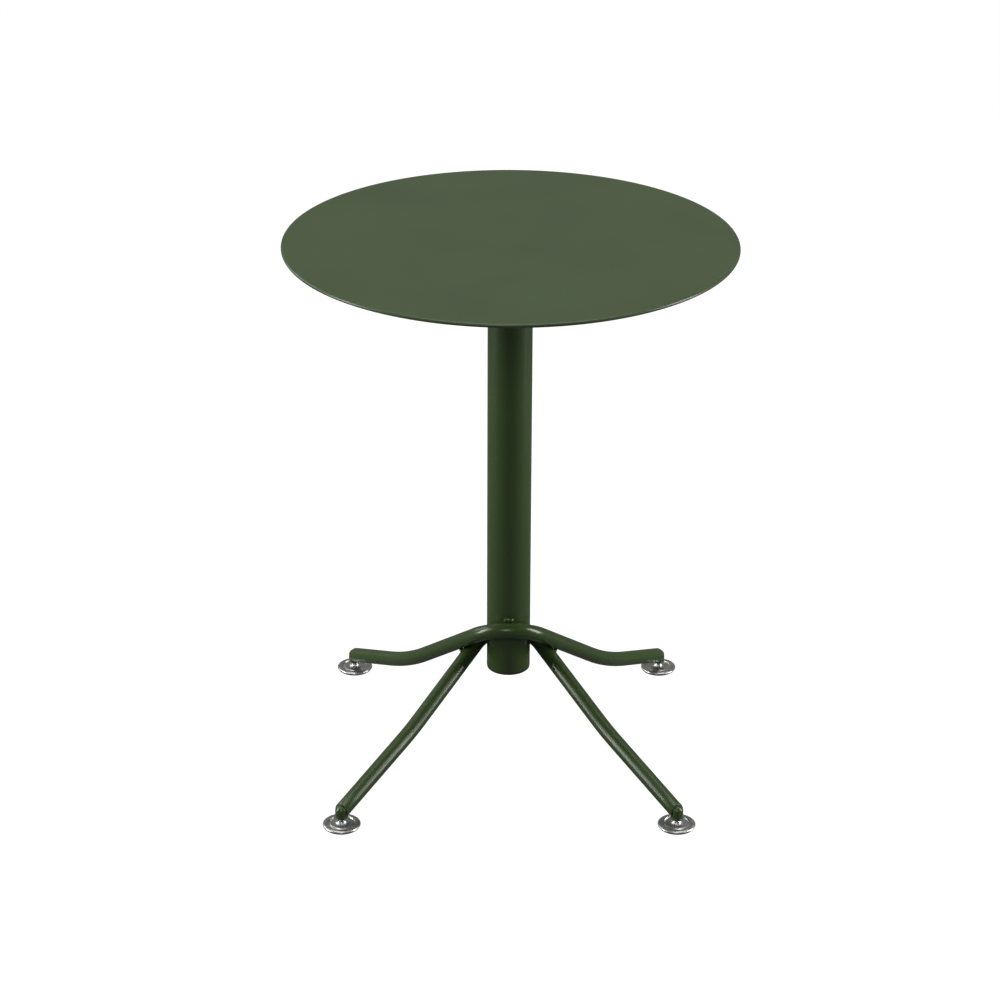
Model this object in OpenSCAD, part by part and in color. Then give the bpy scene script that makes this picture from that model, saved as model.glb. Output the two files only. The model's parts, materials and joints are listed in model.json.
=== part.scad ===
/* [Table top] */
// Diameter of the round top
top_d = 600; // [560:5:650]
// Height of the top's upper face above the floor
table_h = 750; // [720:1:760]
// Thickness of the top's steel sheet
sheet_t = 2; // [1.5:0.1:2.2]
// Depth of the rolled rim, over the turned-under hem
rim_h = 5; // [4.6:0.1:6]
// Width of the flat hem turned under the rim
hem_w = 12; // [6:1:16]

/* [Underframe] */
// Diameter of the pressed stiffener dish, over its welded flange
dish_d = 240; // [230:1:260]
// Diameter of the dish's flat floor
dish_floor_d = 184; // [180:1:190]
// Depth of the dish below the top sheet
dish_depth = 12; // [11:0.5:14]
// Thickness of the stiffener's sheet
dish_t = 2; // [1.5:0.1:2.5]
// Height of each radial rib
rib_h = 11; // [8:0.5:12]
// Width of each radial rib
rib_w = 32; // [24:1:40]
// Thickness of the rib's folded sheet
rib_t = 1.5; // [1:0.1:2]
// Diameter of the column's mounting plate
plate_d = 170; // [160:1:175]
// Thickness of the column's mounting plate
plate_t = 5; // [4:0.5:6]
// Diameter of the circle through the four top bolts
bolt_pcd = 124; // [116:1:130]
// Nominal diameter of the top bolts
bolt_d = 8; // [8:1:8]

/* [Column] */
// Outside diameter of the column tube
column_d = 60; // [56:1:62]
// Wall of the column tube
column_wall = 2.5; // [2:0.1:3]
// Height of the column's lower end above the floor
column_low = 127; // [120:1:132]

/* [Legs] */
// Outside diameter of the leg tubes
leg_d = 21; // [20:0.5:22]
// Wall of the leg tubes
leg_wall = 1.5; // [1.2:0.1:2]
// Distance of each foot from the middle, along X and along Y
foot_xy = 225; // [215:1:230]
// Distance from the column's axis to where the lines of one tube's two legs meet
apex_y = 81; // [78:0.5:84]
// Height of the lower tube's centreline where the tubes cross
cross_z = 136; // [134:0.5:139]
// Fall of the upper tube from horizontal, near the column
upper_fall_in = 33.7; // [33:0.1:34.5]
// Fall of the upper tube from horizontal, near the foot
upper_fall_out = 19.8; // [19:0.1:20.5]
// Fall of the lower tube from horizontal, near the column
lower_fall_in = 25.5; // [25:0.1:26]
// Fall of the lower tube from horizontal, near the foot
lower_fall_out = 19.3; // [18.5:0.1:20]
// Centreline radius of the gentle bend in each leg
knee_r = 400; // [300:10:450]
// Height of the tube's centreline over the foot's stud
leg_foot_z = 22.3; // [21.5:0.1:23]
// Distance that each tube runs past the middle of its socket
leg_past = 0.5; // [0:0.5:2]

/* [Levelling feet] */
// Nominal diameter of the foot's threaded stud
stud_d = 8; // [8:1:8]
// Height of the stud's top end
stud_top = 25.5; // [24:0.5:26]
// Diameter of the upright socket in the end of each leg
socket_d = 17; // [16:0.5:17]
// Height of the socket's lower end
socket_low = 12.5; // [12:0.1:13]
// Height of the top of the socket's threaded bore
bore_top = 29; // [28.5:0.1:29.5]
// Diameter of the foot's disc
disc_d = 51; // [48:0.5:54]
// Radius of the disc's round rim bead
bead_r = 2.2; // [2:0.1:2.4]
// Height of the disc's soft shoulder
shoulder_z = 5; // [4.8:0.1:5.4]
// Height of the top of the disc's neck
neck_top = 9; // [8.5:0.1:9.5]
// Radius of the hollow sweep between the disc and its neck
neck_sweep = 6; // [5:0.5:6.5]
// Diameter of the flange on the stud, inside the disc
flange_d = 16; // [14:0.5:17]
// Height that the pad lifts the disc off the floor
pad_lift = 0.8; // [0.6:0.1:1]

/* [Hidden] */
CORNERS = ["front_left", "front_right", "back_left", "back_right"];

$fn = 96;
paint = "darkolivegreen";
steel = "silver";
raw_weld = "olivedrab";

// Clearances: between pieces that are welded or rest together, in a plain hole, and in a running thread
seat_gap = 0.2;
hole_gap = 0.05;
run_gap = 0.05;
over = 1;

// Heights under the top
sheet_low = table_h - sheet_t;
dish_low = sheet_low - dish_depth;
plate_low = dish_low - plate_t;

// Top bolts: M8 hexagon sizes
bolt_hole_d = bolt_d + 1;
nut_flats = 13;
nut_h = 6.5;
head_h = 5.3;
washer_d = 16;
washer_t = 1.6;
spring_d = 14.2;
spring_t = 2;
bolt_len = 20;
washer_low = plate_low - washer_t;
spring_low = washer_low - spring_t;

// Leg tubes: seen from above, both legs of a tube start where their lines meet, apex_y from the column's axis
reach_y = foot_xy + apex_y;
reach = norm([foot_xy, reach_y]);
plan_angle = atan2(reach_y, foot_xy);
touch_y = (column_d + leg_d) / 2 + seat_gap;
cross_reach = apex_y / sin(plan_angle);

// Foot: the stud's flange turns in a pocket between the disc and the pad
stud_r = stud_d / 2;
disc_bore_r = stud_r + run_gap;
flange_low = 1.4;
flange_t = 1.6;
disc_low = flange_low + flange_t + seat_gap;
pocket_low = flange_low - seat_gap;
pad_top = 1.9;

// Bend marks: width, how far they stand proud, and the slit that they bridge
mark_w = 2;
mark_proud = 0.05;
mark_slit = 0.2;

// Direction of a leg near the column, going down at the angle "fall" towards +Y or -Y (way = 1 or -1)
function leg_direction(fall, way) = [cos(plan_angle), way * sin(plan_angle), -tan(fall)];

// Height between the two crossing centrelines that leaves the tubes seat_gap apart
cross_normal = cross(leg_direction(upper_fall_in, 1), leg_direction(lower_fall_in, -1));
cross_lift = (leg_d + seat_gap) * norm(cross_normal) / abs(cross_normal.z);

UPPER = [cross_z + cross_lift, upper_fall_in, upper_fall_out];
LOWER = [cross_z, lower_fall_in, lower_fall_out];

// Height of the meeting point of a tube's leg lines, and distance and height of its knee
function vertex_z(tube) = tube[0] + tan(tube[1]) * cross_reach;
function knee_u(tube) =
    (vertex_z(tube) - leg_foot_z - tan(tube[2]) * reach) / (tan(tube[1]) - tan(tube[2]));
function knee_length(tube) = knee_r * tan((tube[1] - tube[2]) / 2);

// Plane of the middle bend: how far it leans, the angle of the legs from X within it, and the turn about a
// leg that brings this plane upright
function lean(tube) = atan2(sin(tube[1]), sin(plan_angle) * cos(tube[1]));
function turn(tube) = acos(cos(plan_angle) * cos(tube[1]));
function twist(tube) = asin(cos(plan_angle) * sin(lean(tube)));
function bend_r(tube) = (apex_y - touch_y) / cos(lean(tube)) / (1 / cos(turn(tube)) - 1);

function is_front(corner) = corner == "front_left" || corner == "front_right";
function is_left(corner) = corner == "front_left" || corner == "back_left";
function foot_place(corner) =
    [is_left(corner) ? -foot_xy : foot_xy, is_front(corner) ? -foot_xy : foot_xy, 0];

module both_sides() {
    children();
    mirror([1, 0, 0]) children();
}

module four_bolts() {
    for (turned = [45 : 90 : 315]) rotate([0, 0, turned]) translate([bolt_pcd / 2, 0, 0]) children();
}

module table_top() {
    rim_x = top_d / 2 - rim_h / 2;
    rim_z = table_h - rim_h / 2;
    color(paint) rotate_extrude($fn = 180) {
        translate([0, sheet_low]) square([rim_x, sheet_t]);
        translate([rim_x - hem_w, table_h - rim_h]) square([hem_w, sheet_t]);
        translate([rim_x, rim_z]) intersection() {
            difference() {
                circle(d = rim_h, $fn = 48);
                circle(d = rim_h - 2 * sheet_t, $fn = 48);
            }
            translate([0, -rim_h]) square([rim_h, 2 * rim_h]);
        }
    }
}

// Pressed dish welded under the top: its floor carries the nuts
module top_stiffener() {
    floor_r = dish_floor_d / 2;
    flange_r = dish_d / 2;
    wall_x = floor_r + dish_depth;
    color(paint) difference() {
        rotate_extrude($fn = 120) polygon([
            [0, dish_low], [floor_r, dish_low], [wall_x, sheet_low - dish_t], [flange_r, sheet_low - dish_t],
            [flange_r, sheet_low], [wall_x - dish_t / 2, sheet_low], [floor_r - dish_t / 2, dish_low + dish_t],
            [0, dish_low + dish_t]
        ]);
        four_bolts() translate([0, 0, dish_low - over]) cylinder(h = dish_t + 2 * over, d = bolt_hole_d);
    }
}

// Folded channels between the dish and the rim, open side up against the sheet
module top_ribs() {
    rib_start = dish_d / 2 + 2;
    rib_len = top_d / 2 - rim_h - hem_w - rib_start;
    color(paint) for (turned = [0 : 90 : 270]) rotate([0, 0, turned])
        translate([rib_start, 0, sheet_low - rib_h]) difference() {
            translate([0, -rib_w / 2, 0]) cube([rib_len, rib_w, rib_h]);
            translate([-over, rib_t - rib_w / 2, rib_t])
                cube([rib_len + 2 * over, rib_w - 2 * rib_t, rib_h]);
        }
}

module weld_nuts() {
    color(steel) four_bolts() translate([0, 0, dish_low + dish_t]) difference() {
        cylinder(h = nut_h, d = nut_flats / cos(30), $fn = 6);
        translate([0, 0, -over]) cylinder(h = nut_h + 2 * over, d = bolt_d + 2 * hole_gap);
    }
}

module top_bolts() {
    color(steel) four_bolts() {
        translate([0, 0, spring_low - head_h]) cylinder(h = head_h, d = nut_flats / cos(30), $fn = 6);
        translate([0, 0, spring_low]) cylinder(h = bolt_len, d = bolt_d);
    }
}

module washer(outer_d, thickness) {
    difference() {
        cylinder(h = thickness, d = outer_d);
        translate([0, 0, -over]) cylinder(h = thickness + 2 * over, d = bolt_d + 2 * seat_gap);
    }
}

// Split spring washers: the slit leaves each one an open ring
module spring_washers() {
    slit = 1.2;
    color(steel) four_bolts() translate([0, 0, spring_low]) difference() {
        washer(spring_d, spring_t);
        translate([0, -slit / 2, -over]) cube([spring_d, slit, spring_t + 2 * over]);
    }
}

module flat_washers() {
    color(steel) four_bolts() translate([0, 0, washer_low]) washer(washer_d, washer_t);
}

module mount_plate() {
    color(paint) difference() {
        translate([0, 0, plate_low]) cylinder(h = plate_t, d = plate_d, $fn = 120);
        four_bolts() translate([0, 0, plate_low - over]) cylinder(h = plate_t + 2 * over, d = bolt_hole_d);
    }
}

module column_tube() {
    color(paint) difference() {
        translate([0, 0, column_low]) cylinder(h = plate_low - column_low, d = column_d);
        translate([0, 0, column_low - over])
            cylinder(h = plate_low - column_low + 2 * over, d = column_d - 2 * column_wall);
    }
}

// Ring weld in the corner between the column and its plate
module column_head_weld() {
    leg = 5;
    inner_r = column_d / 2;
    color(raw_weld) rotate_extrude()
        polygon([[inner_r, plate_low], [inner_r, plate_low - leg], [inner_r + leg, plate_low]]);
}

// Plug that closes the column's lower end: a tapered rim, and a hollow spigot inside the tube
module column_end_plug() {
    rim_t = 3;
    rim_taper = 3;
    spigot_h = 14;
    spigot_d = column_d - 2 * column_wall - 2 * hole_gap;
    spigot_wall = 2.5;
    floor_t = 2;
    color("black") translate([0, 0, column_low]) {
        translate([0, 0, -rim_t]) cylinder(h = rim_t, d1 = column_d - rim_taper, d2 = column_d);
        difference() {
            cylinder(h = spigot_h, d = spigot_d);
            translate([0, 0, floor_t]) cylinder(h = spigot_h, d = spigot_d - 2 * spigot_wall);
        }
    }
}

module tube_section() {
    difference() {
        circle(d = leg_d);
        circle(d = leg_d - 2 * leg_wall);
    }
}

// Bent stretch of tube in the XZ plane: it starts at the origin along X and bends towards +Z
module bent_tube(radius, angle) {
    translate([0, 0, radius]) rotate([90, 0, 0]) rotate_extrude(angle = angle, start = 270, $fn = 180)
        translate([radius, 0]) tube_section($fn = 96);
}

// Mark that the bending tool leaves around the tube, where a bend begins or ends
module bend_mark() {
    translate([-mark_w / 2, 0, 0]) rotate([0, 90, 0]) linear_extrude(height = mark_w) difference() {
        circle(d = leg_d + 2 * mark_proud);
        circle(d = leg_d - 2 * leg_wall - 2 * mark_proud);
    }
}

// Straight stretch of tube from the origin along X; bend marks bridge the slits left at its ends
module straight_tube(length) {
    translate([mark_slit, 0, 0]) rotate([0, 90, 0])
        linear_extrude(height = length - 2 * mark_slit) tube_section();
}

// Moves its children from the start of a bend to its end
module after_bend(radius, angle) {
    translate([radius * sin(angle), 0, radius * (1 - cos(angle))]) rotate([0, -angle, 0]) children();
}

// Last stretch of a leg: cut upright at its end, with a hole underneath for the socket
module foot_stretch(fall, length) {
    bend_mark();
    difference() {
        straight_tube(length + leg_d);
        translate([length, 0, 0]) rotate([0, -fall, 0]) {
            translate([leg_past, -leg_d, -leg_d]) cube([2 * leg_d, 2 * leg_d, 3 * leg_d]);
            translate([0, 0, -leg_d]) cylinder(h = leg_d, d = socket_d + 2 * seat_gap);
        }
    }
}

// Half of a bent tube, from the middle of its bend to the end of one leg
module half_tube(tube) {
    fall_in = tube[1];
    fall_out = tube[2];
    knee = fall_in - fall_out;
    start = bend_r(tube) * tan(turn(tube));
    straight_in = knee_u(tube) / cos(fall_in) - knee_length(tube) - start;
    straight_out = (reach - knee_u(tube)) / cos(fall_out) - knee_length(tube);
    translate([0, bend_r(tube) / cos(turn(tube)) - bend_r(tube), 0])
        rotate([-90, 0, 0]) bent_tube(bend_r(tube), turn(tube));
    rotate([0, 0, turn(tube)]) translate([start, 0, 0]) {
        bend_mark();
        straight_tube(straight_in);
        translate([straight_in, 0, 0]) rotate([twist(tube), 0, 0]) {
            bend_mark();
            bent_tube(knee_r, knee);
            after_bend(knee_r, knee) foot_stretch(fall_out, straight_out);
        }
    }
}

// A bent tube: the middle bend hugs the column, and one leg runs from each end of it
module leg_tube(tube) {
    translate([0, -apex_y, vertex_z(tube)]) rotate([-lean(tube), 0, 0]) both_sides() half_tube(tube);
}

module upper_leg_tube() {
    color(paint) leg_tube(UPPER);
}

module lower_leg_tube() {
    color(paint) rotate([0, 0, 180]) leg_tube(LOWER);
}

// Bead along the column where a tube touches it
module column_bead(height, spread) {
    bead = 2.6;
    translate([0, 0, height]) rotate_extrude(angle = 2 * spread, start = 270 - spread)
        translate([column_d / 2 + bead / 2, 0]) circle(r = bead, $fn = 32);
}

module column_welds() {
    spread = 24;
    groove = 8.3;
    color(raw_weld) {
        for (side = [-1, 1]) {
            column_bead(vertex_z(UPPER) - (apex_y - touch_y) * tan(lean(UPPER)) + side * groove, spread);
            rotate([0, 0, 180])
                column_bead(vertex_z(LOWER) - (apex_y - touch_y) * tan(lean(LOWER)) + side * groove, spread);
        }
    }
}

// Beads in the outer and inner corners where the tubes cross
module crossing_welds() {
    bead = 3;
    bead_out = 9.5;
    bead_drop = 5.7;
    cross_x = cross_reach * cos(plan_angle);
    color(raw_weld) both_sides() for (side = [-1, 1])
        translate([cross_x + side * bead_out, -bead, cross_z + cross_lift / 2 - side * bead_drop])
            rotate([-90, 0, 0]) cylinder(h = 2 * bead, r = bead, $fn = 32);
}

// Upright socket in the end of a leg: its ball top fits inside the tube, its bore takes the stud's thread
module foot_socket(corner) {
    ball_r = leg_d / 2 - leg_wall - seat_gap;
    socket_r = socket_d / 2;
    color(paint) translate(foot_place(corner)) difference() {
        rotate_extrude() intersection() {
            translate([0, socket_low]) square([socket_r, leg_d]);
            union() {
                square([socket_r, leg_foot_z]);
                translate([0, leg_foot_z]) circle(r = ball_r);
            }
        }
        translate([0, 0, socket_low - over])
            cylinder(h = bore_top - socket_low + over, r = stud_r + run_gap);
    }
}

// Stud with the flange that turns inside the disc
module stud(corner) {
    color(steel) translate(foot_place(corner)) {
        translate([0, 0, flange_low]) cylinder(h = flange_t, d = flange_d);
        translate([0, 0, flange_low]) cylinder(h = stud_top - flange_low, r = stud_r);
    }
}

// Pressed stainless disc: hollow underneath, a round bead at its rim and a swept neck for the stud
module disc(corner) {
    bead_x = disc_d / 2 - bead_r;
    bead_z = pad_lift + bead_r;
    sweep_x = stud_r + 1 + neck_sweep;
    valley_x = bead_x - bead_r;
    skin = 1;
    color(steel) translate(foot_place(corner)) rotate_extrude() {
        translate([bead_x, bead_z]) circle(r = bead_r, $fn = 48);
        difference() {
            polygon([
                [disc_bore_r, disc_low], [sweep_x, disc_low],
                [valley_x, bead_z - skin], [bead_x, bead_z - skin],
                [bead_x, bead_z + skin], [valley_x, bead_z + skin],
                [sweep_x, shoulder_z], [sweep_x, neck_top], [disc_bore_r, neck_top]
            ]);
            translate([sweep_x, shoulder_z + neck_sweep]) circle(r = neck_sweep);
        }
    }
}

// Plastic pad under the disc, with a pocket for the stud's flange
module pad(corner) {
    lip_inset = 1.5;
    bead_gap = 0.3;
    lip_r = disc_d / 2 - lip_inset;
    body_r = disc_d / 2 - 2 * bead_r - bead_gap;
    pocket_r = flange_d / 2 + 2 * seat_gap;
    color("black") translate(foot_place(corner)) difference() {
        union() {
            cylinder(h = pad_lift, r = lip_r);
            cylinder(h = pad_top, r = body_r);
        }
        translate([0, 0, pocket_low]) cylinder(h = pad_top, r = pocket_r);
    }
}

table_top();
top_stiffener();
top_ribs();
weld_nuts();
top_bolts();
spring_washers();
flat_washers();
mount_plate();
column_tube();
column_head_weld();
column_end_plug();
upper_leg_tube();
lower_leg_tube();
column_welds();
crossing_welds();
for (corner = CORNERS) {
    foot_socket(corner);
    stud(corner);
    disc(corner);
    pad(corner);
}
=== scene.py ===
import json
import math

import bmesh
import bpy
from mathutils import Matrix, Vector
from mathutils.geometry import intersect_line_line


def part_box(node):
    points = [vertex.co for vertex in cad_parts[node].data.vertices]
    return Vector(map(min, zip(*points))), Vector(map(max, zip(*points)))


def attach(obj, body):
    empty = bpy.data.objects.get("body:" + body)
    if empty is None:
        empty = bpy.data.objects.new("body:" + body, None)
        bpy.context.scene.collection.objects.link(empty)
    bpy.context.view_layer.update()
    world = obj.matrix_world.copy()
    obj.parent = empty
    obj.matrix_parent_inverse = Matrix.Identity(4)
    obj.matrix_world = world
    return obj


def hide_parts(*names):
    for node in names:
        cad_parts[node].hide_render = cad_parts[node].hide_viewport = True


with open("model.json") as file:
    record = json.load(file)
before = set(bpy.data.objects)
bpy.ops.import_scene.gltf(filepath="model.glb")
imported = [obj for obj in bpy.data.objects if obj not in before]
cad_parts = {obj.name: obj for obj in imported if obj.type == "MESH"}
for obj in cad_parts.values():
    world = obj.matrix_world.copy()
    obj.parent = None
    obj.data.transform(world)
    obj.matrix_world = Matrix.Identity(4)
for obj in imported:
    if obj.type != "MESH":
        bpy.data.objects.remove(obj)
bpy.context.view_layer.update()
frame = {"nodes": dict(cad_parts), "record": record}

MM = 0.001
MERGE = 1e-7        # metres: points nearer than this are one point
CORNERS = ("front_left", "front_right", "back_left", "back_right")


# ---------------------------------------------------------------- places, read from the frame

TOP_LOW, TOP_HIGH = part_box("table_top")
TOP_R = TOP_HIGH.x
TOP_Z = TOP_HIGH.z
COLUMN_LOW, COLUMN_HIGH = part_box("column_tube")
COLUMN_R = COLUMN_HIGH.x


def foot_centre(corner):
    """A foot's axis, on the floor."""
    low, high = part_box(f"disc_{corner}")
    return Vector(((low.x + high.x) / 2, (low.y + high.y) / 2, 0))


# ---------------------------------------------------------------- mesh helpers


def add_object(name, mesh, smooth_angle=40):
    """A new object from a mesh, shaded smooth apart from edges sharper than smooth_angle."""
    obj = bpy.data.objects.new(name, mesh)
    bpy.context.scene.collection.objects.link(obj)
    for polygon in mesh.polygons:
        polygon.use_smooth = True
    limit = math.radians(smooth_angle)
    bm = bmesh.new()
    bm.from_mesh(mesh)
    for edge in bm.edges:
        edge.smooth = len(edge.link_faces) == 2 and edge.calc_face_angle(0) < limit
    bm.to_mesh(mesh)
    bm.free()
    return obj


def mesh_from(name, verts, faces):
    """A mesh with its doubled points merged and its faces turned outwards."""
    mesh = bpy.data.meshes.new(name)
    mesh.from_pydata([tuple(v) for v in verts], [], faces)
    bm = bmesh.new()
    bm.from_mesh(mesh)
    bmesh.ops.remove_doubles(bm, verts=bm.verts, dist=MERGE)
    bmesh.ops.recalc_face_normals(bm, faces=bm.faces)
    bm.to_mesh(mesh)
    bm.free()
    mesh.update()
    return mesh


def arc(centre, radius, start, end, steps):
    """Points of an arc in the (radius, height) plane; angles in degrees."""
    out = []
    for i in range(steps + 1):
        a = math.radians(start + (end - start) * i / steps)
        out.append((centre[0] + radius * math.cos(a), centre[1] + radius * math.sin(a)))
    return out


def lathe(name, profile, segments=128, centre=(0, 0, 0), smooth_angle=40):
    """Turns a closed profile of (radius, height) points about Z. Points on the axis become one vertex."""
    verts, rings = [], []
    for r, z in profile:
        if r < MERGE:
            rings.append([len(verts)] * segments)
            verts.append((centre[0], centre[1], centre[2] + z))
            continue
        ring = []
        for i in range(segments):
            a = 2 * math.pi * i / segments
            ring.append(len(verts))
            verts.append((centre[0] + r * math.cos(a), centre[1] + r * math.sin(a), centre[2] + z))
        rings.append(ring)
    faces = []
    for k in range(len(rings)):
        a, b = rings[k], rings[(k + 1) % len(rings)]
        for i in range(segments):
            j = (i + 1) % segments
            corner = []
            for v in (a[i], a[j], b[j], b[i]):
                if v not in corner:
                    corner.append(v)
            if len(corner) > 2:
                faces.append(corner)
    return add_object(name, mesh_from(name, verts, faces), smooth_angle)


def sweep(name, points, section, smooth_angle=50):
    """Sweeps a section along points and closes both ends. section(i, n) gives the (side, up) offsets of the
    ring at point i of n; up stays near +Z."""
    n = len(points)
    verts, rings = [], []
    for i, p in enumerate(points):
        ahead = points[min(i + 1, n - 1)] - points[max(i - 1, 0)]
        along = ahead.normalized()
        side = along.cross(Vector((0, 0, 1))).normalized()
        up = side.cross(along).normalized()
        ring = []
        for s, u in section(i, n):
            ring.append(len(verts))
            verts.append(p + side * s + up * u)
        rings.append(ring)
    faces = []
    count = len(rings[0])
    for k in range(n - 1):
        for i in range(count):
            j = (i + 1) % count
            faces.append((rings[k][i], rings[k][j], rings[k + 1][j], rings[k + 1][i]))
    faces.append(tuple(reversed(rings[0])))
    faces.append(tuple(rings[-1]))
    return add_object(name, mesh_from(name, verts, faces), smooth_angle)


# ---------------------------------------------------------------- materials

# a noise texture's values lie mostly between these two
NOISE_LOW, NOISE_HIGH = 0.3, 0.7


class Shader:
    """A small builder for node materials around one Principled shader."""

    def __init__(self, name):
        self.material = bpy.data.materials.new(name)
        self.material.use_nodes = True
        self.tree = self.material.node_tree
        self.main = self.tree.nodes["Principled BSDF"]
        self.where = self.node("ShaderNodeTexCoord").outputs["Object"]

    def node(self, kind, **values):
        made = self.tree.nodes.new(kind)
        for key, value in values.items():
            setattr(made, key, value)
        return made

    def link(self, a, b):
        self.tree.links.new(a, b)

    def noise(self, scale, detail, rough=0.5):
        made = self.node("ShaderNodeTexNoise")
        made.inputs["Scale"].default_value = scale
        made.inputs["Detail"].default_value = detail
        made.inputs["Roughness"].default_value = rough
        self.link(self.where, made.inputs["Vector"])
        return made.outputs["Fac"]

    def ramp(self, fac, first, last, low=NOISE_LOW, high=NOISE_HIGH):
        """Goes from the first colour to the last as fac goes from low to high."""
        made = self.node("ShaderNodeValToRGB")
        for element, (at, colour) in zip(made.color_ramp.elements, ((low, first), (high, last))):
            element.position = at
            element.color = (*colour, 1)
        self.link(fac, made.inputs["Fac"])
        return made.outputs["Color"]

    def spread(self, fac, low, high):
        """Turns a noise into values from low to high."""
        made = self.node("ShaderNodeMapRange")
        made.inputs["From Min"].default_value = NOISE_LOW
        made.inputs["From Max"].default_value = NOISE_HIGH
        made.inputs["To Min"].default_value = low
        made.inputs["To Max"].default_value = high
        self.link(fac, made.inputs["Value"])
        return made.outputs["Result"]

    def bump(self, height, depth, normal=None):
        """Raises the surface by up to depth, on top of another bump's normal if there is one."""
        made = self.node("ShaderNodeBump")
        made.inputs["Strength"].default_value = 1.0
        made.inputs["Distance"].default_value = depth
        self.link(height, made.inputs["Height"])
        if normal:
            self.link(normal, made.inputs["Normal"])
        return made.outputs["Normal"]

    def finish(self, colour, roughness=None, normal=None, **values):
        """Links what varies over the surface and sets what doesn't."""
        self.link(colour, self.main.inputs["Base Color"])
        if roughness:
            self.link(roughness, self.main.inputs["Roughness"])
        if normal:
            self.link(normal, self.main.inputs["Normal"])
        for key, value in values.items():
            self.main.inputs[key].default_value = value
        return self.material


def shade(colour, factor):
    return tuple(min(1.0, c * factor) for c in colour)


def powder_coat(name, colour, rough, shine):
    """Cured powder: a very fine orange peel, a finer grain in it, and a faint cloudiness in colour."""
    s = Shader(name)
    grain_depth, peel_depth = 0.008 * MM, 0.022 * MM
    cloud = s.noise(scale=9, detail=4)
    grain = s.noise(scale=1900, detail=2)
    peel = s.noise(scale=420, detail=2, rough=0.4)
    base = s.ramp(cloud, shade(colour, 0.94), shade(colour, 1.06))
    roughness = s.spread(cloud, rough - 0.03, rough + 0.04)
    normal = s.bump(grain, grain_depth, s.bump(peel, peel_depth))
    return s.finish(base, roughness, normal, **{"Specular IOR Level": shine})


def stainless(name):
    """Turned and polished steel: fine lathe rings, stored in the mesh as a radius, under a soft haze."""
    s = Shader(name)
    ring_scale, ring_depth = 2600, 0.008 * MM
    dull, bright = (0.50, 0.50, 0.485), (0.58, 0.58, 0.565)
    radius = s.node("ShaderNodeAttribute", attribute_name="turned_radius").outputs["Fac"]
    rings = s.node("ShaderNodeTexNoise", noise_dimensions="1D")
    rings.inputs["Scale"].default_value = ring_scale
    rings.inputs["Detail"].default_value = 2
    s.link(radius, rings.inputs["W"])
    haze = s.noise(scale=160, detail=3)
    normal = s.bump(rings.outputs["Fac"], ring_depth)
    return s.finish(s.ramp(haze, dull, bright), s.spread(haze, 0.29, 0.39), normal, Metallic=1.0)


def zinc(name):
    """Zinc plate: a cool spangle with warm passivation patches."""
    s = Shader(name)
    cool, warm = (0.50, 0.51, 0.53), (0.56, 0.55, 0.50)
    spangle_depth = 0.04 * MM
    spangle = s.noise(scale=520, detail=3)
    patch = s.noise(scale=60, detail=2)
    colour = s.ramp(patch, cool, warm, low=0.35, high=0.65)
    return s.finish(colour, s.spread(spangle, 0.26, 0.42), s.bump(spangle, spangle_depth), Metallic=1.0)


def black_plastic(name):
    """Moulded polyamide: a fine spark-eroded texture."""
    s = Shader(name)
    deep, faded = (0.014, 0.014, 0.015), (0.022, 0.022, 0.023)
    grain_depth = 0.06 * MM
    grain = s.noise(scale=1500, detail=3)
    tone = s.noise(scale=40, detail=3)
    return s.finish(s.ramp(tone, deep, faded), s.spread(tone, 0.48, 0.6), s.bump(grain, grain_depth))


GREEN_TOP = (0.046, 0.070, 0.030)
GREEN_FRAME = (0.030, 0.056, 0.013)
MATERIALS = {
    "green_powder_top": powder_coat("green_powder_top", GREEN_TOP, rough=0.32, shine=0.32),
    "green_powder_frame": powder_coat("green_powder_frame", GREEN_FRAME, rough=0.28, shine=0.5),
    "stainless": stainless("stainless"),
    "zinc_steel": zinc("zinc_steel"),
    "black_plastic": black_plastic("black_plastic"),
}
SLOT_OF = {p["node"]: p["material_slot"] for p in frame["record"]["subparts"]}


def paint(obj, slot):
    obj.data.materials.clear()
    obj.data.materials.append(MATERIALS[slot])


def place(piece, body, node):
    """The usual ending for a piece: it rides on a body and stands for one CAD node."""
    slot = SLOT_OF[node]
    paint(piece, slot)
    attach(piece, body)
    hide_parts(node)


# ---------------------------------------------------------------- table top


def make_top():
    """Sheet disc with a rolled rim and a flat hem turned under it."""
    sheet, hem_width = 2 * MM, 12 * MM
    roll = (TOP_HIGH.z - TOP_LOW.z) / 2
    rim = TOP_R - roll
    mid = TOP_Z - roll
    hem = rim - hem_width
    # rings across the flat faces, so that their long thin faces shade evenly
    inner_rings = (0, 0.1, 0.2)
    flat_end = rim - 4 * MM
    profile = [(r, TOP_Z) for r in (*inner_rings, flat_end)]
    profile += arc((rim, mid), roll, 90, -90, 24)
    profile += [(hem, TOP_LOW.z), (hem, TOP_LOW.z + sheet), (rim, TOP_LOW.z + sheet)]
    profile += arc((rim, mid), roll - sheet, -90, 90, 8)
    profile += [(r, TOP_Z - sheet) for r in reversed(inner_rings)]
    place(lathe("top_sheet", profile, segments=288), "frame", "table_top")


# ---------------------------------------------------------------- column


def make_column():
    """Drawn tube, its lower edge broken by a small radius."""
    low, high = COLUMN_LOW.z, COLUMN_HIGH.z
    wall, edge, rows = 2.5 * MM, 0.6 * MM, 8
    inner = COLUMN_R - wall
    profile = arc((COLUMN_R - edge, low + edge), edge, -90, 0, 5)
    profile += [(COLUMN_R, low + (high - low) * i / rows) for i in range(1, rows)]
    profile += [(COLUMN_R, high), (inner, high), (inner, low)]
    place(lathe("column", profile, segments=160), "frame", "column_tube")


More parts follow.
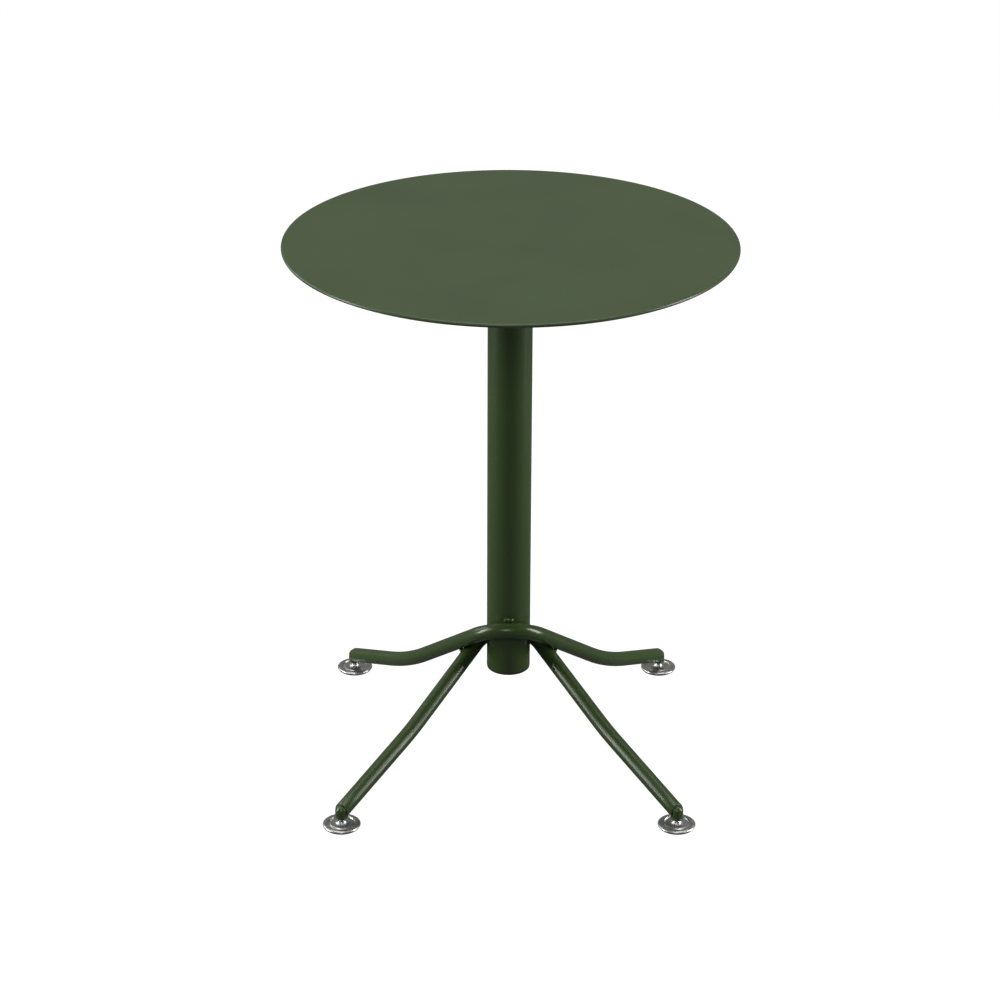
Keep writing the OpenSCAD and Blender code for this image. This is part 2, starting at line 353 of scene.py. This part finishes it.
def make_end_plug():
    """Plug in the column's lower end: a spigot inside the tube and a rim under it."""
    low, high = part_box("column_end_plug")
    edge = 1.2 * MM
    rim_r = COLUMN_R - 0.4 * MM
    rim_top = COLUMN_LOW.z - 0.1 * MM
    spigot_r = COLUMN_R - 2.6 * MM
    profile = [(0, low.z)]
    profile += arc((rim_r - edge, low.z + edge), edge, -90, 0, 6)
    profile += [(rim_r, rim_top), (spigot_r, COLUMN_LOW.z), (spigot_r, high.z), (0, high.z)]
    place(lathe("column_plug", profile, segments=128), "frame", "column_end_plug")


# ---------------------------------------------------------------- legs

LEG_R = 10.5 * MM
LEG_PAST = 0.5 * MM         # how far a tube runs past its foot's axis
SEAT_GAP = 0.2 * MM
FOOT_XY = foot_centre("back_right").x
FOOT_Z = 22.3 * MM          # height of a tube's centreline over its foot
APEX_Y = 81 * MM            # where the straight legs would meet, seen from above
KNEE_R = 400 * MM
CROSS_Z = 136 * MM          # height of the lower tube's centreline where the tubes cross
# each tube's fall below level, before and after its knee
UPPER_FALLS = (math.radians(33.7), math.radians(19.8))
LOWER_FALLS = (math.radians(25.5), math.radians(19.3))
# angle between a leg and the X axis seen from above, and the length of a leg from the apex to its foot
PLAN = math.atan2(FOOT_XY + APEX_Y, FOOT_XY)
REACH = math.hypot(FOOT_XY, FOOT_XY + APEX_Y)
CROSS_X = APEX_Y / math.tan(PLAN)


def crossing_directions():
    """Directions of the upper and the lower tube where they cross on the right."""
    upper = Vector((math.cos(PLAN), math.sin(PLAN), -math.tan(UPPER_FALLS[0])))
    lower = Vector((math.cos(PLAN), -math.sin(PLAN), -math.tan(LOWER_FALLS[0])))
    return upper, lower


def crossing_lift():
    """Height between the crossing centrelines that leaves the tubes just apart."""
    upper, lower = crossing_directions()
    normal = upper.cross(lower)
    return (2 * LEG_R + SEAT_GAP) * normal.length / abs(normal.z)


def leg_path(cross_z, falls):
    """Centreline of a bent tube whose legs go to +Y: a middle bend round the column, and in each leg a soft
    knee between two straight stretches."""
    middle_steps, straight_steps, knee_steps = 24, 6, 14
    fall_in, fall_out = falls
    vertex_z = cross_z + math.tan(fall_in) * APEX_Y / math.sin(PLAN)
    knee_u = (vertex_z - FOOT_Z - math.tan(fall_out) * REACH) / (math.tan(fall_in) - math.tan(fall_out))
    knee_length = KNEE_R * math.tan((fall_in - fall_out) / 2)
    lean = math.atan2(math.sin(fall_in), math.sin(PLAN) * math.cos(fall_in))
    turn = math.acos(math.cos(PLAN) * math.cos(fall_in))
    touch_y = COLUMN_R + LEG_R + SEAT_GAP
    bend_r = (APEX_Y - touch_y) / math.cos(lean) / (1 / math.cos(turn) - 1)

    def leaning(x, y):
        return Vector((x, y * math.cos(lean) - APEX_Y, vertex_z - y * math.sin(lean)))

    def upright(u, z):
        return Vector((u * math.cos(PLAN), u * math.sin(PLAN) - APEX_Y, z))

    half = []
    for k in range(middle_steps + 1):
        a = turn * k / middle_steps
        half.append(leaning(bend_r * math.sin(a), bend_r / math.cos(turn) - bend_r * math.cos(a)))
    start_u = bend_r * math.tan(turn) * math.cos(fall_in)
    bend_u = knee_u - knee_length * math.cos(fall_in)
    for k in range(1, straight_steps + 1):
        u = start_u + (bend_u - start_u) * k / straight_steps
        half.append(upright(u, vertex_z - math.tan(fall_in) * u))
    for k in range(1, knee_steps + 1):
        t = fall_in + (fall_out - fall_in) * k / knee_steps
        u = bend_u + KNEE_R * (math.sin(fall_in) - math.sin(t))
        z = vertex_z - math.tan(fall_in) * bend_u + KNEE_R * (math.cos(fall_in) - math.cos(t))
        half.append(upright(u, z))
    bend_end = u
    for k in range(1, straight_steps + 1):
        u = bend_end + (REACH + LEG_PAST - bend_end) * k / straight_steps
        half.append(upright(u, FOOT_Z + math.tan(fall_out) * (REACH - u)))
    mirrored = [Vector((-p.x, p.y, p.z)) for p in reversed(half[1:])]
    return mirrored + half


def make_leg_tube(node, path):
    """Sweeps the tube's outer skin as a closed solid, its ends cut upright and their lips rolled in."""
    sides = 64
    # (inset from the tube's radius, distance back from the upright end), in millimetres
    lip = ((0.0, 0.9), (0.12, 0.4), (0.4, 0.1), (0.8, 0.0), (1.3, 0.0), (1.76, 0.05))
    ends = []
    for at, before in ((path[0], path[1]), (path[-1], path[-2])):
        outward = (at - before).normalized()
        ends.append((outward, Vector((outward.x, outward.y, 0)).normalized()))
    verts, rings = [], []

    def ring(centre, along, radius, cut=None, setback=0.0):
        side = along.cross(Vector((0, 0, 1))).normalized()
        up = side.cross(along).normalized()
        ids = []
        for k in range(sides):
            a = 2 * math.pi * k / sides
            point = centre + side * radius * math.cos(a) + up * radius * math.sin(a)
            if cut:
                outward, plan = cut
                point += outward * ((centre - point).dot(plan) / outward.dot(plan) - setback)
            ids.append(len(verts))
            verts.append(point)
        rings.append(ids)

    for inset, setback in reversed(lip):
        ring(path[0], -ends[0][0], LEG_R - inset * MM, ends[0], setback * MM)
    for i in range(1, len(path) - 1):
        ring(path[i], (path[i + 1] - path[i - 1]).normalized(), LEG_R)
    for inset, setback in lip:
        ring(path[-1], ends[1][0], LEG_R - inset * MM, ends[1], setback * MM)
    faces = []
    for a, b in zip(rings, rings[1:]):
        for k in range(sides):
            m = (k + 1) % sides
            faces.append((a[k], a[m], b[m], b[k]))
    faces.append(tuple(reversed(rings[0])))
    faces.append(tuple(rings[-1]))
    place(add_object(f"bent_{node}", mesh_from(f"bent_{node}", verts, faces), 50), "frame", node)


def make_legs():
    make_leg_tube("upper_leg_tube", leg_path(CROSS_Z + crossing_lift(), UPPER_FALLS))
    lower = [Vector((-p.x, -p.y, p.z)) for p in leg_path(CROSS_Z, LOWER_FALLS)]
    make_leg_tube("lower_leg_tube", lower)


# ---------------------------------------------------------------- feet


def turned_radius(obj, centre):
    """Stores each point's distance from the foot's axis, with its height mixed in, for the lathe rings."""
    height_share = 0.7
    values = [math.hypot(v.co.x - centre.x, v.co.y - centre.y) + height_share * v.co.z
              for v in obj.data.vertices]
    attribute = obj.data.attributes.new("turned_radius", "FLOAT", "POINT")
    attribute.data.foreach_set("value", values)


STUD_R = 4 * MM
THREAD_PITCH = 1.25 * MM
RUNNING_GAP = 0.05 * MM


def make_disc(corner):
    """Pressed disc: round rim bead, shallow valley, soft shoulder and a hollow sweep up to the neck."""
    low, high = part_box(f"disc_{corner}")
    centre = foot_centre(corner)
    rim = (high.x - low.x) / 2
    bore = STUD_R + RUNNING_GAP
    shoulder, underside = 5 * MM, 3.2 * MM
    # rim: a round bead below, and a flatter crown over it
    bead = 2.2 * MM
    bead_x, bead_z = rim - bead, low.z + bead
    bead_foot = low.z + 1.2 * MM
    crown, crown_flatten = 4.2 * MM, 0.93
    crown_turn, crown_steps = 128, 18
    # valley: from just past the crown's end up to the shoulder
    valley_out, valley_in = rim - crown * 1.62, STUD_R + 9.6 * MM
    drop, valley_steps = 1.35 * MM, 12
    # neck: a hollow sweep, and a small lip round the bore
    neck_wall, hollow, lip = 1 * MM, 6 * MM, 0.4 * MM
    hollow_x, hollow_z = STUD_R + neck_wall + hollow, shoulder + hollow
    neck_a = 180 + math.degrees(math.asin((hollow_z - high.z) / hollow))
    profile = [(bore, underside), (hollow_x, underside), (bead_x - bead, bead_foot)]
    profile += arc((bead_x, bead_z), bead, 215, 360, 12)
    for k in range(1, crown_steps + 1):
        a = math.radians(crown_turn * k / crown_steps)
        profile.append((rim - crown + crown * math.cos(a), bead_z + bead * crown_flatten * math.sin(a)))
    for k in range(valley_steps + 1):
        t = k / valley_steps
        z = shoulder - drop * (1 + math.cos(math.pi * t)) / 2
        profile.append((valley_out + (valley_in - valley_out) * t, z))
    profile += arc((hollow_x, hollow_z), hollow, 270, neck_a, 16)
    profile += [(bore + lip, high.z), (bore, high.z - lip)]
    disc = lathe(f"foot_disc_{corner}", profile, 128, (centre.x, centre.y, 0), 60)
    turned_radius(disc, centre)
    place(disc, f"foot_{corner}", f"disc_{corner}")


def make_pad(corner):
    """Plastic pad: a thin lip under the disc's rim, a thicker middle, and a pocket for the stud's flange."""
    low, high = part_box(f"pad_{corner}")
    centre = foot_centre(corner)
    rim = (high.x - low.x) / 2
    edge, thick = 0.35 * MM, 0.8 * MM
    middle = rim - 3.2 * MM
    pocket, pocket_floor = 8.4 * MM, 1.2 * MM
    profile = [(0, 0)]
    profile += arc((rim - edge, edge), edge, -90, 0, 4)
    profile += arc((rim - edge, thick - edge), edge, 0, 90, 4)
    profile += [(middle, thick), (middle, high.z), (pocket, high.z), (pocket, pocket_floor), (0, pocket_floor)]
    pad = lathe(f"foot_pad_{corner}", profile, 96, (centre.x, centre.y, 0))
    place(pad, f"foot_{corner}", f"pad_{corner}")


def make_stud(corner):
    """Stud with a rolled thread: its radius follows the helix, and its flange turns inside the disc."""
    low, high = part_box(f"stud_{corner}")
    centre = foot_centre(corner)
    depth = 0.65 * MM
    smooth_to = 4.4 * MM
    run_out = 0.8 * MM
    # steepness of the thread's flanks, and what keeps its crests flat
    flank, crest = 1.25, 0.12
    point, point_slope = 1 * MM, 0.8
    segments, rows_per_turn = 48, 14
    flange_r = (high.x - low.x) / 2
    flange_top = 3 * MM
    edge = 0.3 * MM
    verts, faces, rings = [], [], []

    def ring(z, radius):
        ids = []
        for i in range(segments):
            a = 2 * math.pi * i / segments
            r = radius(a)
            ids.append(len(verts))
            verts.append(Vector((centre.x + r * math.cos(a), centre.y + r * math.sin(a), z)))
        rings.append(ids)

    def threaded(z):
        fade = min(1, max(0, (z - smooth_to) / run_out))
        tip = max(0, point - (high.z - z)) * point_slope

        def radius(a):
            turn = (z / THREAD_PITCH - a / (2 * math.pi)) % 1
            groove = 1 - abs(2 * turn - 1)
            cut = depth * fade * max(0, min(1, flank * groove - crest))
            return STUD_R - max(cut, tip)
        return radius

    ring(low.z, lambda a: flange_r - edge)
    ring(low.z + edge, lambda a: flange_r)
    ring(flange_top - edge, lambda a: flange_r)
    ring(flange_top, lambda a: flange_r - edge)
    ring(flange_top, lambda a: STUD_R)
    rows = int((high.z - smooth_to) / THREAD_PITCH * rows_per_turn)
    for k in range(rows + 1):
        z = smooth_to + (high.z - smooth_to) * k / rows
        ring(z, threaded(z))
    for a, b in zip(rings, rings[1:]):
        for i in range(segments):
            j = (i + 1) % segments
            faces.append((a[i], a[j], b[j], b[i]))
    faces.append(tuple(reversed(rings[0])))
    faces.append(tuple(rings[-1]))
    stud = add_object(f"foot_stud_{corner}", mesh_from(f"foot_stud_{corner}", verts, faces), 60)
    turned_radius(stud, centre)
    place(stud, f"screw_{corner}", f"stud_{corner}")


def make_socket(corner):
    """Upright socket in the leg's end: ball top, chamfered lower edge, threaded bore."""
    low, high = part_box(f"foot_socket_{corner}")
    centre = foot_centre(corner)
    radius = (high.x - low.x) / 2
    ball = 8.8 * MM
    ball_z = high.z - ball
    meet = math.degrees(math.acos(radius / ball))
    edge, mouth = 0.7 * MM, 0.5 * MM
    bore = STUD_R + RUNNING_GAP
    bore_top = 29 * MM
    profile = [(bore, low.z + mouth), (bore + mouth, low.z)]
    profile += arc((radius - edge, low.z + edge), edge, -90, 0, 5)
    profile += arc((0, ball_z), ball, meet, 90, 14)
    profile += [(0, bore_top), (bore, bore_top)]
    socket = lathe(f"foot_socket_{corner}", profile, 72, (centre.x, centre.y, 0), 50)
    place(socket, "frame", f"foot_socket_{corner}")


# ---------------------------------------------------------------- welds


def weld_bead(name, points, width, rise, dabs=1):
    """A hand-laid bead: overlapping ripples along it, ends that taper away, and a waist between its dabs."""
    sides = 16
    ripple = 1.89 * MM
    end_share, waist = 0.03, 0.28
    side_ripple, top_ripple = 0.05, 0.1
    length = sum((b - a).length for a, b in zip(points, points[1:]))

    def section(i, n):
        t = i / (n - 1)
        wave = 0.5 + 0.5 * math.cos(2 * math.pi * t * length / ripple)
        taper = math.sqrt(max(0.0, 1 - abs(2 * t - 1) ** 6)) * (1 - end_share) + end_share
        swell = 1 - waist + waist * math.sqrt(abs(math.sin(math.pi * dabs * t)))
        w = width * taper * swell * (1 - side_ripple + side_ripple * wave)
        h = rise * taper * swell * (1 - top_ripple + top_ripple * wave)
        return [(w * math.cos(2 * math.pi * k / sides), h * math.sin(2 * math.pi * k / sides))
                for k in range(sides)]

    return sweep(name, points, section)


def make_column_welds():
    """Beads round the column, just over and under each tube's middle bend."""
    low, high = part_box("column_welds")
    bead = 2.6 * MM
    groove = 16 * MM
    width, rise = bead * 1.2, bead * 1.5
    away = 2.4 * MM
    path_r = COLUMN_R + bead * 0.35
    spread, steps = 13, 60
    # the upper tube's two beads are at the front, the lower tube's two at the back
    beads = (("upper", -1, high.z - bead + away), ("upper_under", -1, high.z - bead - groove - away),
             ("lower", 1, low.z + bead + groove + away), ("lower_under", 1, low.z + bead - away))
    for label, side, z in beads:
        points = []
        for i in range(steps + 1):
            a = math.radians(side * 90 - spread + 2 * spread * i / steps)
            points.append(Vector((path_r * math.cos(a), path_r * math.sin(a), z)))
        place(weld_bead(f"column_weld_{label}", points, width, rise, dabs=2), "frame", "column_welds")


def islands(node):
    """Middle and size of each separate solid of a CAD node, sorted so the order never changes."""
    join_within, digits = 1e-6, 5
    bm = bmesh.new()
    bm.from_mesh(frame["nodes"][node].data)
    bmesh.ops.remove_doubles(bm, verts=bm.verts, dist=join_within)
    left = set(bm.verts)
    found = []
    while left:
        start = min(left, key=lambda v: v.index)
        group, todo = {start}, [start]
        while todo:
            for edge in todo.pop().link_edges:
                for v in edge.verts:
                    if v not in group:
                        group.add(v)
                        todo.append(v)
        left -= group
        low = Vector(min(v.co[i] for v in group) for i in range(3))
        high = Vector(max(v.co[i] for v in group) for i in range(3))
        found.append(((low + high) / 2, high - low))
    bm.free()
    return sorted(found, key=lambda pair: tuple(round(c, digits) for c in pair[0]))


def make_crossing_welds():
    """Beads laid round the point where the stacked tubes touch, filling the gap outside and inside it."""
    reach, width, rise = 8 * MM, 2.6 * MM, 2.4 * MM
    spread, steps = math.radians(46), 32
    upper, lower = crossing_directions()
    above = Vector((CROSS_X, 0, CROSS_Z + crossing_lift()))
    below = Vector((CROSS_X, 0, CROSS_Z))
    nearest = intersect_line_line(above, above + upper, below, below + lower)
    touch = (nearest[0] + nearest[1]) / 2
    normal = upper.cross(lower).normalized()

    def between_tubes(axis):
        return (axis - normal * axis.dot(normal)).normalized()

    along_y = between_tubes(Vector((0, 1, 0)))
    for label, outward in (("outer", 1), ("inner", -1)):
        along_x = between_tubes(Vector((outward, 0, 0)))
        for corner, hand in (("right", 1), ("left", -1)):
            points = []
            for k in range(steps + 1):
                a = spread * (2 * k / steps - 1)
                point = touch + (along_x * math.cos(a) + along_y * math.sin(a)) * reach
                points.append(Vector((hand * point.x, point.y, point.z)))
            bead = weld_bead(f"crossing_weld_{label}_{corner}", points, width, rise)
            place(bead, "frame", "crossing_welds")


# ---------------------------------------------------------------- under the top


def rib_section(half, deep):
    """Outline of a folded channel, open at the top: the outside down and across, then the inside back."""
    sheet, fold, fold_steps = 1.5 * MM, 2.5 * MM, 5
    inner_fold = fold - sheet
    left, right = (-half + fold, -deep + fold), (half - fold, -deep + fold)
    outer = [(-half, 0)] + arc(left, fold, 180, 270, fold_steps)
    outer += arc(right, fold, 270, 360, fold_steps) + [(half, 0)]
    inner = [(half - sheet, 0)] + arc(right, inner_fold, 360, 270, fold_steps)
    inner += arc(left, inner_fold, 270, 180, fold_steps) + [(-half + sheet, 0)]
    return outer + inner


def make_ribs():
    """Folded channels under the sheet, with outer ends that run out flat towards the rim."""
    run_out, end_depth, stations = 46 * MM, 3.4 * MM, 24
    for i, (middle, size) in enumerate(islands("top_ribs")):
        length, depth = max(size.x, size.y), size.z
        half = min(size.x, size.y) / 2
        outward = Vector((middle.x, middle.y, 0)).normalized()
        across = Vector((-outward.y, outward.x, 0))
        start = middle.to_2d().length - length / 2
        slope_start = start + length - run_out
        top = middle.z + depth / 2
        verts, faces = [], []
        radii = [start] + [slope_start + run_out * k / stations for k in range(stations + 1)]
        for station, r in enumerate(radii):
            t = max(0.0, (r - slope_start) / run_out)
            section = rib_section(half, depth - (depth - end_depth) * (1 - math.cos(math.pi * t)) / 2)
            base, count = len(verts), len(section)
            for across_by, up_by in section:
                verts.append(outward * r + across * across_by + Vector((0, 0, top + up_by)))
            if station:
                for k in range(count):
                    m = (k + 1) % count
                    faces.append((base - count + k, base - count + m, base + m, base + k))
        faces.append(tuple(reversed(range(count))))
        faces.append(tuple(range(len(verts) - count, len(verts))))
        place(add_object(f"top_rib_{i}", mesh_from(f"top_rib_{i}", verts, faces)), "frame", "top_ribs")


def make_head_weld():
    """Ring weld under the mounting plate: a rounded fillet laid in overlapping ripples."""
    low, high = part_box("column_head_weld")
    leg = high.z - low.z
    ripples, steps_per_ripple, bulge = 84, 6, 5
    steps = ripples * steps_per_ripple
    # shares of the weld's leg: the least reach and swell, and what each ripple adds to both
    least_reach, least_swell, ripple_share = 0.86, 0.80, 0.12
    verts, faces = [], []
    for i in range(steps):
        a = 2 * math.pi * i / steps
        wave = abs(math.sin(ripples * a / 2))
        reach = leg * (least_reach + ripple_share * wave)
        section = [(COLUMN_R, high.z)]
        for k in range(bulge + 1):
            t = math.pi / 2 * k / bulge
            swell = least_swell + ripple_share * math.sin(2 * t) * wave
            section.append((COLUMN_R + reach * swell * math.sin(t), high.z - reach * swell * math.cos(t)))
        for r, z in section:
            verts.append((r * math.cos(a), r * math.sin(a), z))
    count = bulge + 2
    for i in range(steps):
        j = (i + 1) % steps
        for k in range(count):
            m = (k + 1) % count
            faces.append((i * count + k, i * count + m, j * count + m, j * count + k))
    place(add_object("head_weld", mesh_from("head_weld", verts, faces), 60), "frame", "column_head_weld")


def make_bolts():
    """Hexagon bolts seen from below: chamfered corners, a washer face and a shallow dished crown."""
    head_h, flats, shank_r = 5.3 * MM, 13 * MM, 4 * MM
    dish, dish_r, crown_r, chamfer_r = 0.35 * MM, flats * 0.30, flats * 0.36, flats * 0.475
    chamfer_steps, chamfer_rise, chamfer_run = 5, 0.18 * MM, 0.32 * MM
    face_h, face_r, face_step = 0.4 * MM, flats * 0.47, 0.05 * MM
    point = 0.8 * MM
    segments = 96
    for n, (middle, size) in enumerate(islands("top_bolts")):
        base = middle.z - size.z / 2
        top = middle.z + size.z / 2
        verts, rings = [], []

        def ring(z, limit, hexagon=True):
            ids = []
            for i in range(segments):
                a = 2 * math.pi * i / segments
                across = (a + math.pi / 6) % (math.pi / 3) - math.pi / 6
                r = min(limit, flats / 2 / math.cos(math.pi / 6 - abs(across))) if hexagon else limit
                ids.append(len(verts))
                verts.append((middle.x + r * math.cos(a), middle.y + r * math.sin(a), base + z))
            rings.append(ids)

        ring(dish, dish_r, False)
        ring(0, crown_r, False)
        ring(0, chamfer_r, False)
        for k in range(1, chamfer_steps + 1):
            ring(k * chamfer_rise, chamfer_r + k * chamfer_run)
        ring(head_h - face_h, flats)
        ring(head_h - face_h + face_step, face_r, False)
        ring(head_h, face_r, False)
        ring(head_h, shank_r, False)
        ring(top - base - point, shank_r, False)
        ring(top - base, shank_r - point, False)
        faces = []
        for a, b in zip(rings, rings[1:]):
            for i in range(segments):
                j = (i + 1) % segments
                faces.append((a[i], a[j], b[j], b[i]))
        faces.append(tuple(reversed(rings[0])))
        faces.append(tuple(rings[-1]))
        bolt = add_object(f"top_bolt_{n}", mesh_from(f"top_bolt_{n}", verts, faces), 25)
        place(bolt, "frame", "top_bolts")


make_top()
make_ribs()
make_head_weld()
make_bolts()
make_column()
make_end_plug()
make_legs()
for corner in CORNERS:
    make_disc(corner)
    make_pad(corner)
    make_stud(corner)
    make_socket(corner)
make_column_welds()
make_crossing_welds()

for node, obj in frame["nodes"].items():
    paint(obj, SLOT_OF[node])


# ---------------------------------------------------------------- floor, light and camera

FLOOR_GLOW = 0.96
ROOM_FRONT, ROOM_BACK = 0.02, 0.20
# parts of the room's depth, -1 at the front and 1 at the back, between which it goes from dim to bright
ROOM_DIM_TO, ROOM_BRIGHT_FROM = -0.75, 0.55


def make_floor():
    """A wide pale floor. It glows for the camera only, so that it doesn't light the table from below."""
    size = 30
    # just under the pads, so that no face of theirs lies in it
    low = -0.2 * MM
    grey, paler = (0.13, 0.13, 0.13), (0.15, 0.15, 0.15)
    corners = [(-size, -size, low), (size, -size, low), (size, size, low), (-size, size, low)]
    floor = add_object("floor", mesh_from("floor", corners, [(0, 1, 2, 3)]))
    s = Shader("pale_floor")
    mottle = s.ramp(s.noise(scale=3, detail=2), grey, paler)
    glow = s.node("ShaderNodeMath", operation="MULTIPLY")
    glow.inputs[1].default_value = FLOOR_GLOW
    s.link(s.node("ShaderNodeLightPath").outputs["Is Camera Ray"], glow.inputs[0])
    s.link(glow.outputs[0], s.main.inputs["Emission Strength"])
    s.finish(mottle, **{"Roughness": 0.9, "Specular IOR Level": 0.1, "Emission Color": (1, 1, 1, 1)})
    floor.data.materials.append(s.material)


def area_light(name, place, target, width, height, power):
    """A rectangular softbox, its size in metres and its power in watts, turned to face the target."""
    data = bpy.data.lights.new(name, "AREA")
    data.shape = "RECTANGLE"
    data.size, data.size_y = width, height
    data.energy = power
    light = bpy.data.objects.new(name, data)
    bpy.context.scene.collection.objects.link(light)
    light.location = place
    aim = Vector(target) - Vector(place)
    light.rotation_mode = "QUATERNION"
    light.rotation_quaternion = aim.to_track_quat("-Z", "Y")


def make_world():
    """A white room. The camera sees plain white; the table gets it bright behind and dim from the front."""
    world = bpy.data.worlds.new("studio")
    bpy.context.scene.world = world
    world.use_nodes = True
    tree = world.node_tree
    tree.nodes.clear()

    def node(kind, **values):
        made = tree.nodes.new(kind)
        for key, value in values.items():
            setattr(made, key, value)
        return made

    direction = node("ShaderNodeTexCoord").outputs["Generated"]
    parts = node("ShaderNodeSeparateXYZ")
    tree.links.new(direction, parts.inputs[0])
    room = node("ShaderNodeMapRange", interpolation_type="SMOOTHSTEP")
    room.inputs["From Min"].default_value = ROOM_DIM_TO
    room.inputs["From Max"].default_value = ROOM_BRIGHT_FROM
    room.inputs["To Min"].default_value = ROOM_FRONT
    room.inputs["To Max"].default_value = ROOM_BACK
    tree.links.new(parts.outputs["Y"], room.inputs["Value"])
    fill = node("ShaderNodeBackground")
    tree.links.new(room.outputs["Result"], fill.inputs["Strength"])
    seen = node("ShaderNodeBackground")
    for background in (fill, seen):
        background.inputs["Color"].default_value = (1, 1, 1, 1)
    mix = node("ShaderNodeMixShader")
    tree.links.new(node("ShaderNodeLightPath").outputs["Is Camera Ray"], mix.inputs["Fac"])
    tree.links.new(fill.outputs[0], mix.inputs[1])
    tree.links.new(seen.outputs[0], mix.inputs[2])
    tree.links.new(mix.outputs[0], node("ShaderNodeOutputWorld").inputs["Surface"])


def make_camera():
    """The photograph's view: a long lens, a little above the table, looking down at it."""
    # solved from the outlines of the top, the column and the feet: metres, radians and millimetres of lens
    distance, height = 3.58859, 2.02788
    pitch, yaw, roll = 0.4309, -0.00349, 0.00419
    turned = -0.0108
    lens, sensor = 104.53, 36
    forward = Vector((math.sin(yaw) * math.cos(pitch), math.cos(yaw) * math.cos(pitch), -math.sin(pitch)))
    right = forward.cross(Vector((0, 0, 1))).normalized()
    up = right.cross(forward)
    level_right = math.cos(roll) * right + math.sin(roll) * up
    level_up = math.cos(roll) * up - math.sin(roll) * right
    axes = Matrix((level_right, level_up, -forward)).transposed()
    data = bpy.data.cameras.new("camera")
    data.sensor_width = sensor
    data.lens = lens
    data.clip_start, data.clip_end = 0.1, 100
    camera = bpy.data.objects.new("camera", data)
    bpy.context.scene.collection.objects.link(camera)
    spin = Matrix.Rotation(turned, 4, "Z")
    camera.matrix_world = spin @ Matrix.Translation((0, -distance, height)) @ axes.to_4x4()
    bpy.context.scene.camera = camera


make_floor()
make_world()
area_light("overhead", (0, 0.2, 3.4), (0, 0, 0.7), 2.4, 2.4, 60)
area_light("left", (-2.4, -0.3, 1.15), (0, 0, 0.4), 0.6, 1.9, 56)
area_light("right", (2.4, -0.2, 1.15), (0, 0, 0.4), 0.6, 1.9, 62)
area_light("behind_left", (-2.0, 1.3, 1.5), (0, 0, 0.5), 0.5, 1.6, 12)
area_light("front", (-0.4, -3.2, 2.5), (0, 0, 0.5), 1.1, 0.9, 24)
make_camera()
bpy.context.scene.view_settings.view_transform = "Standard"
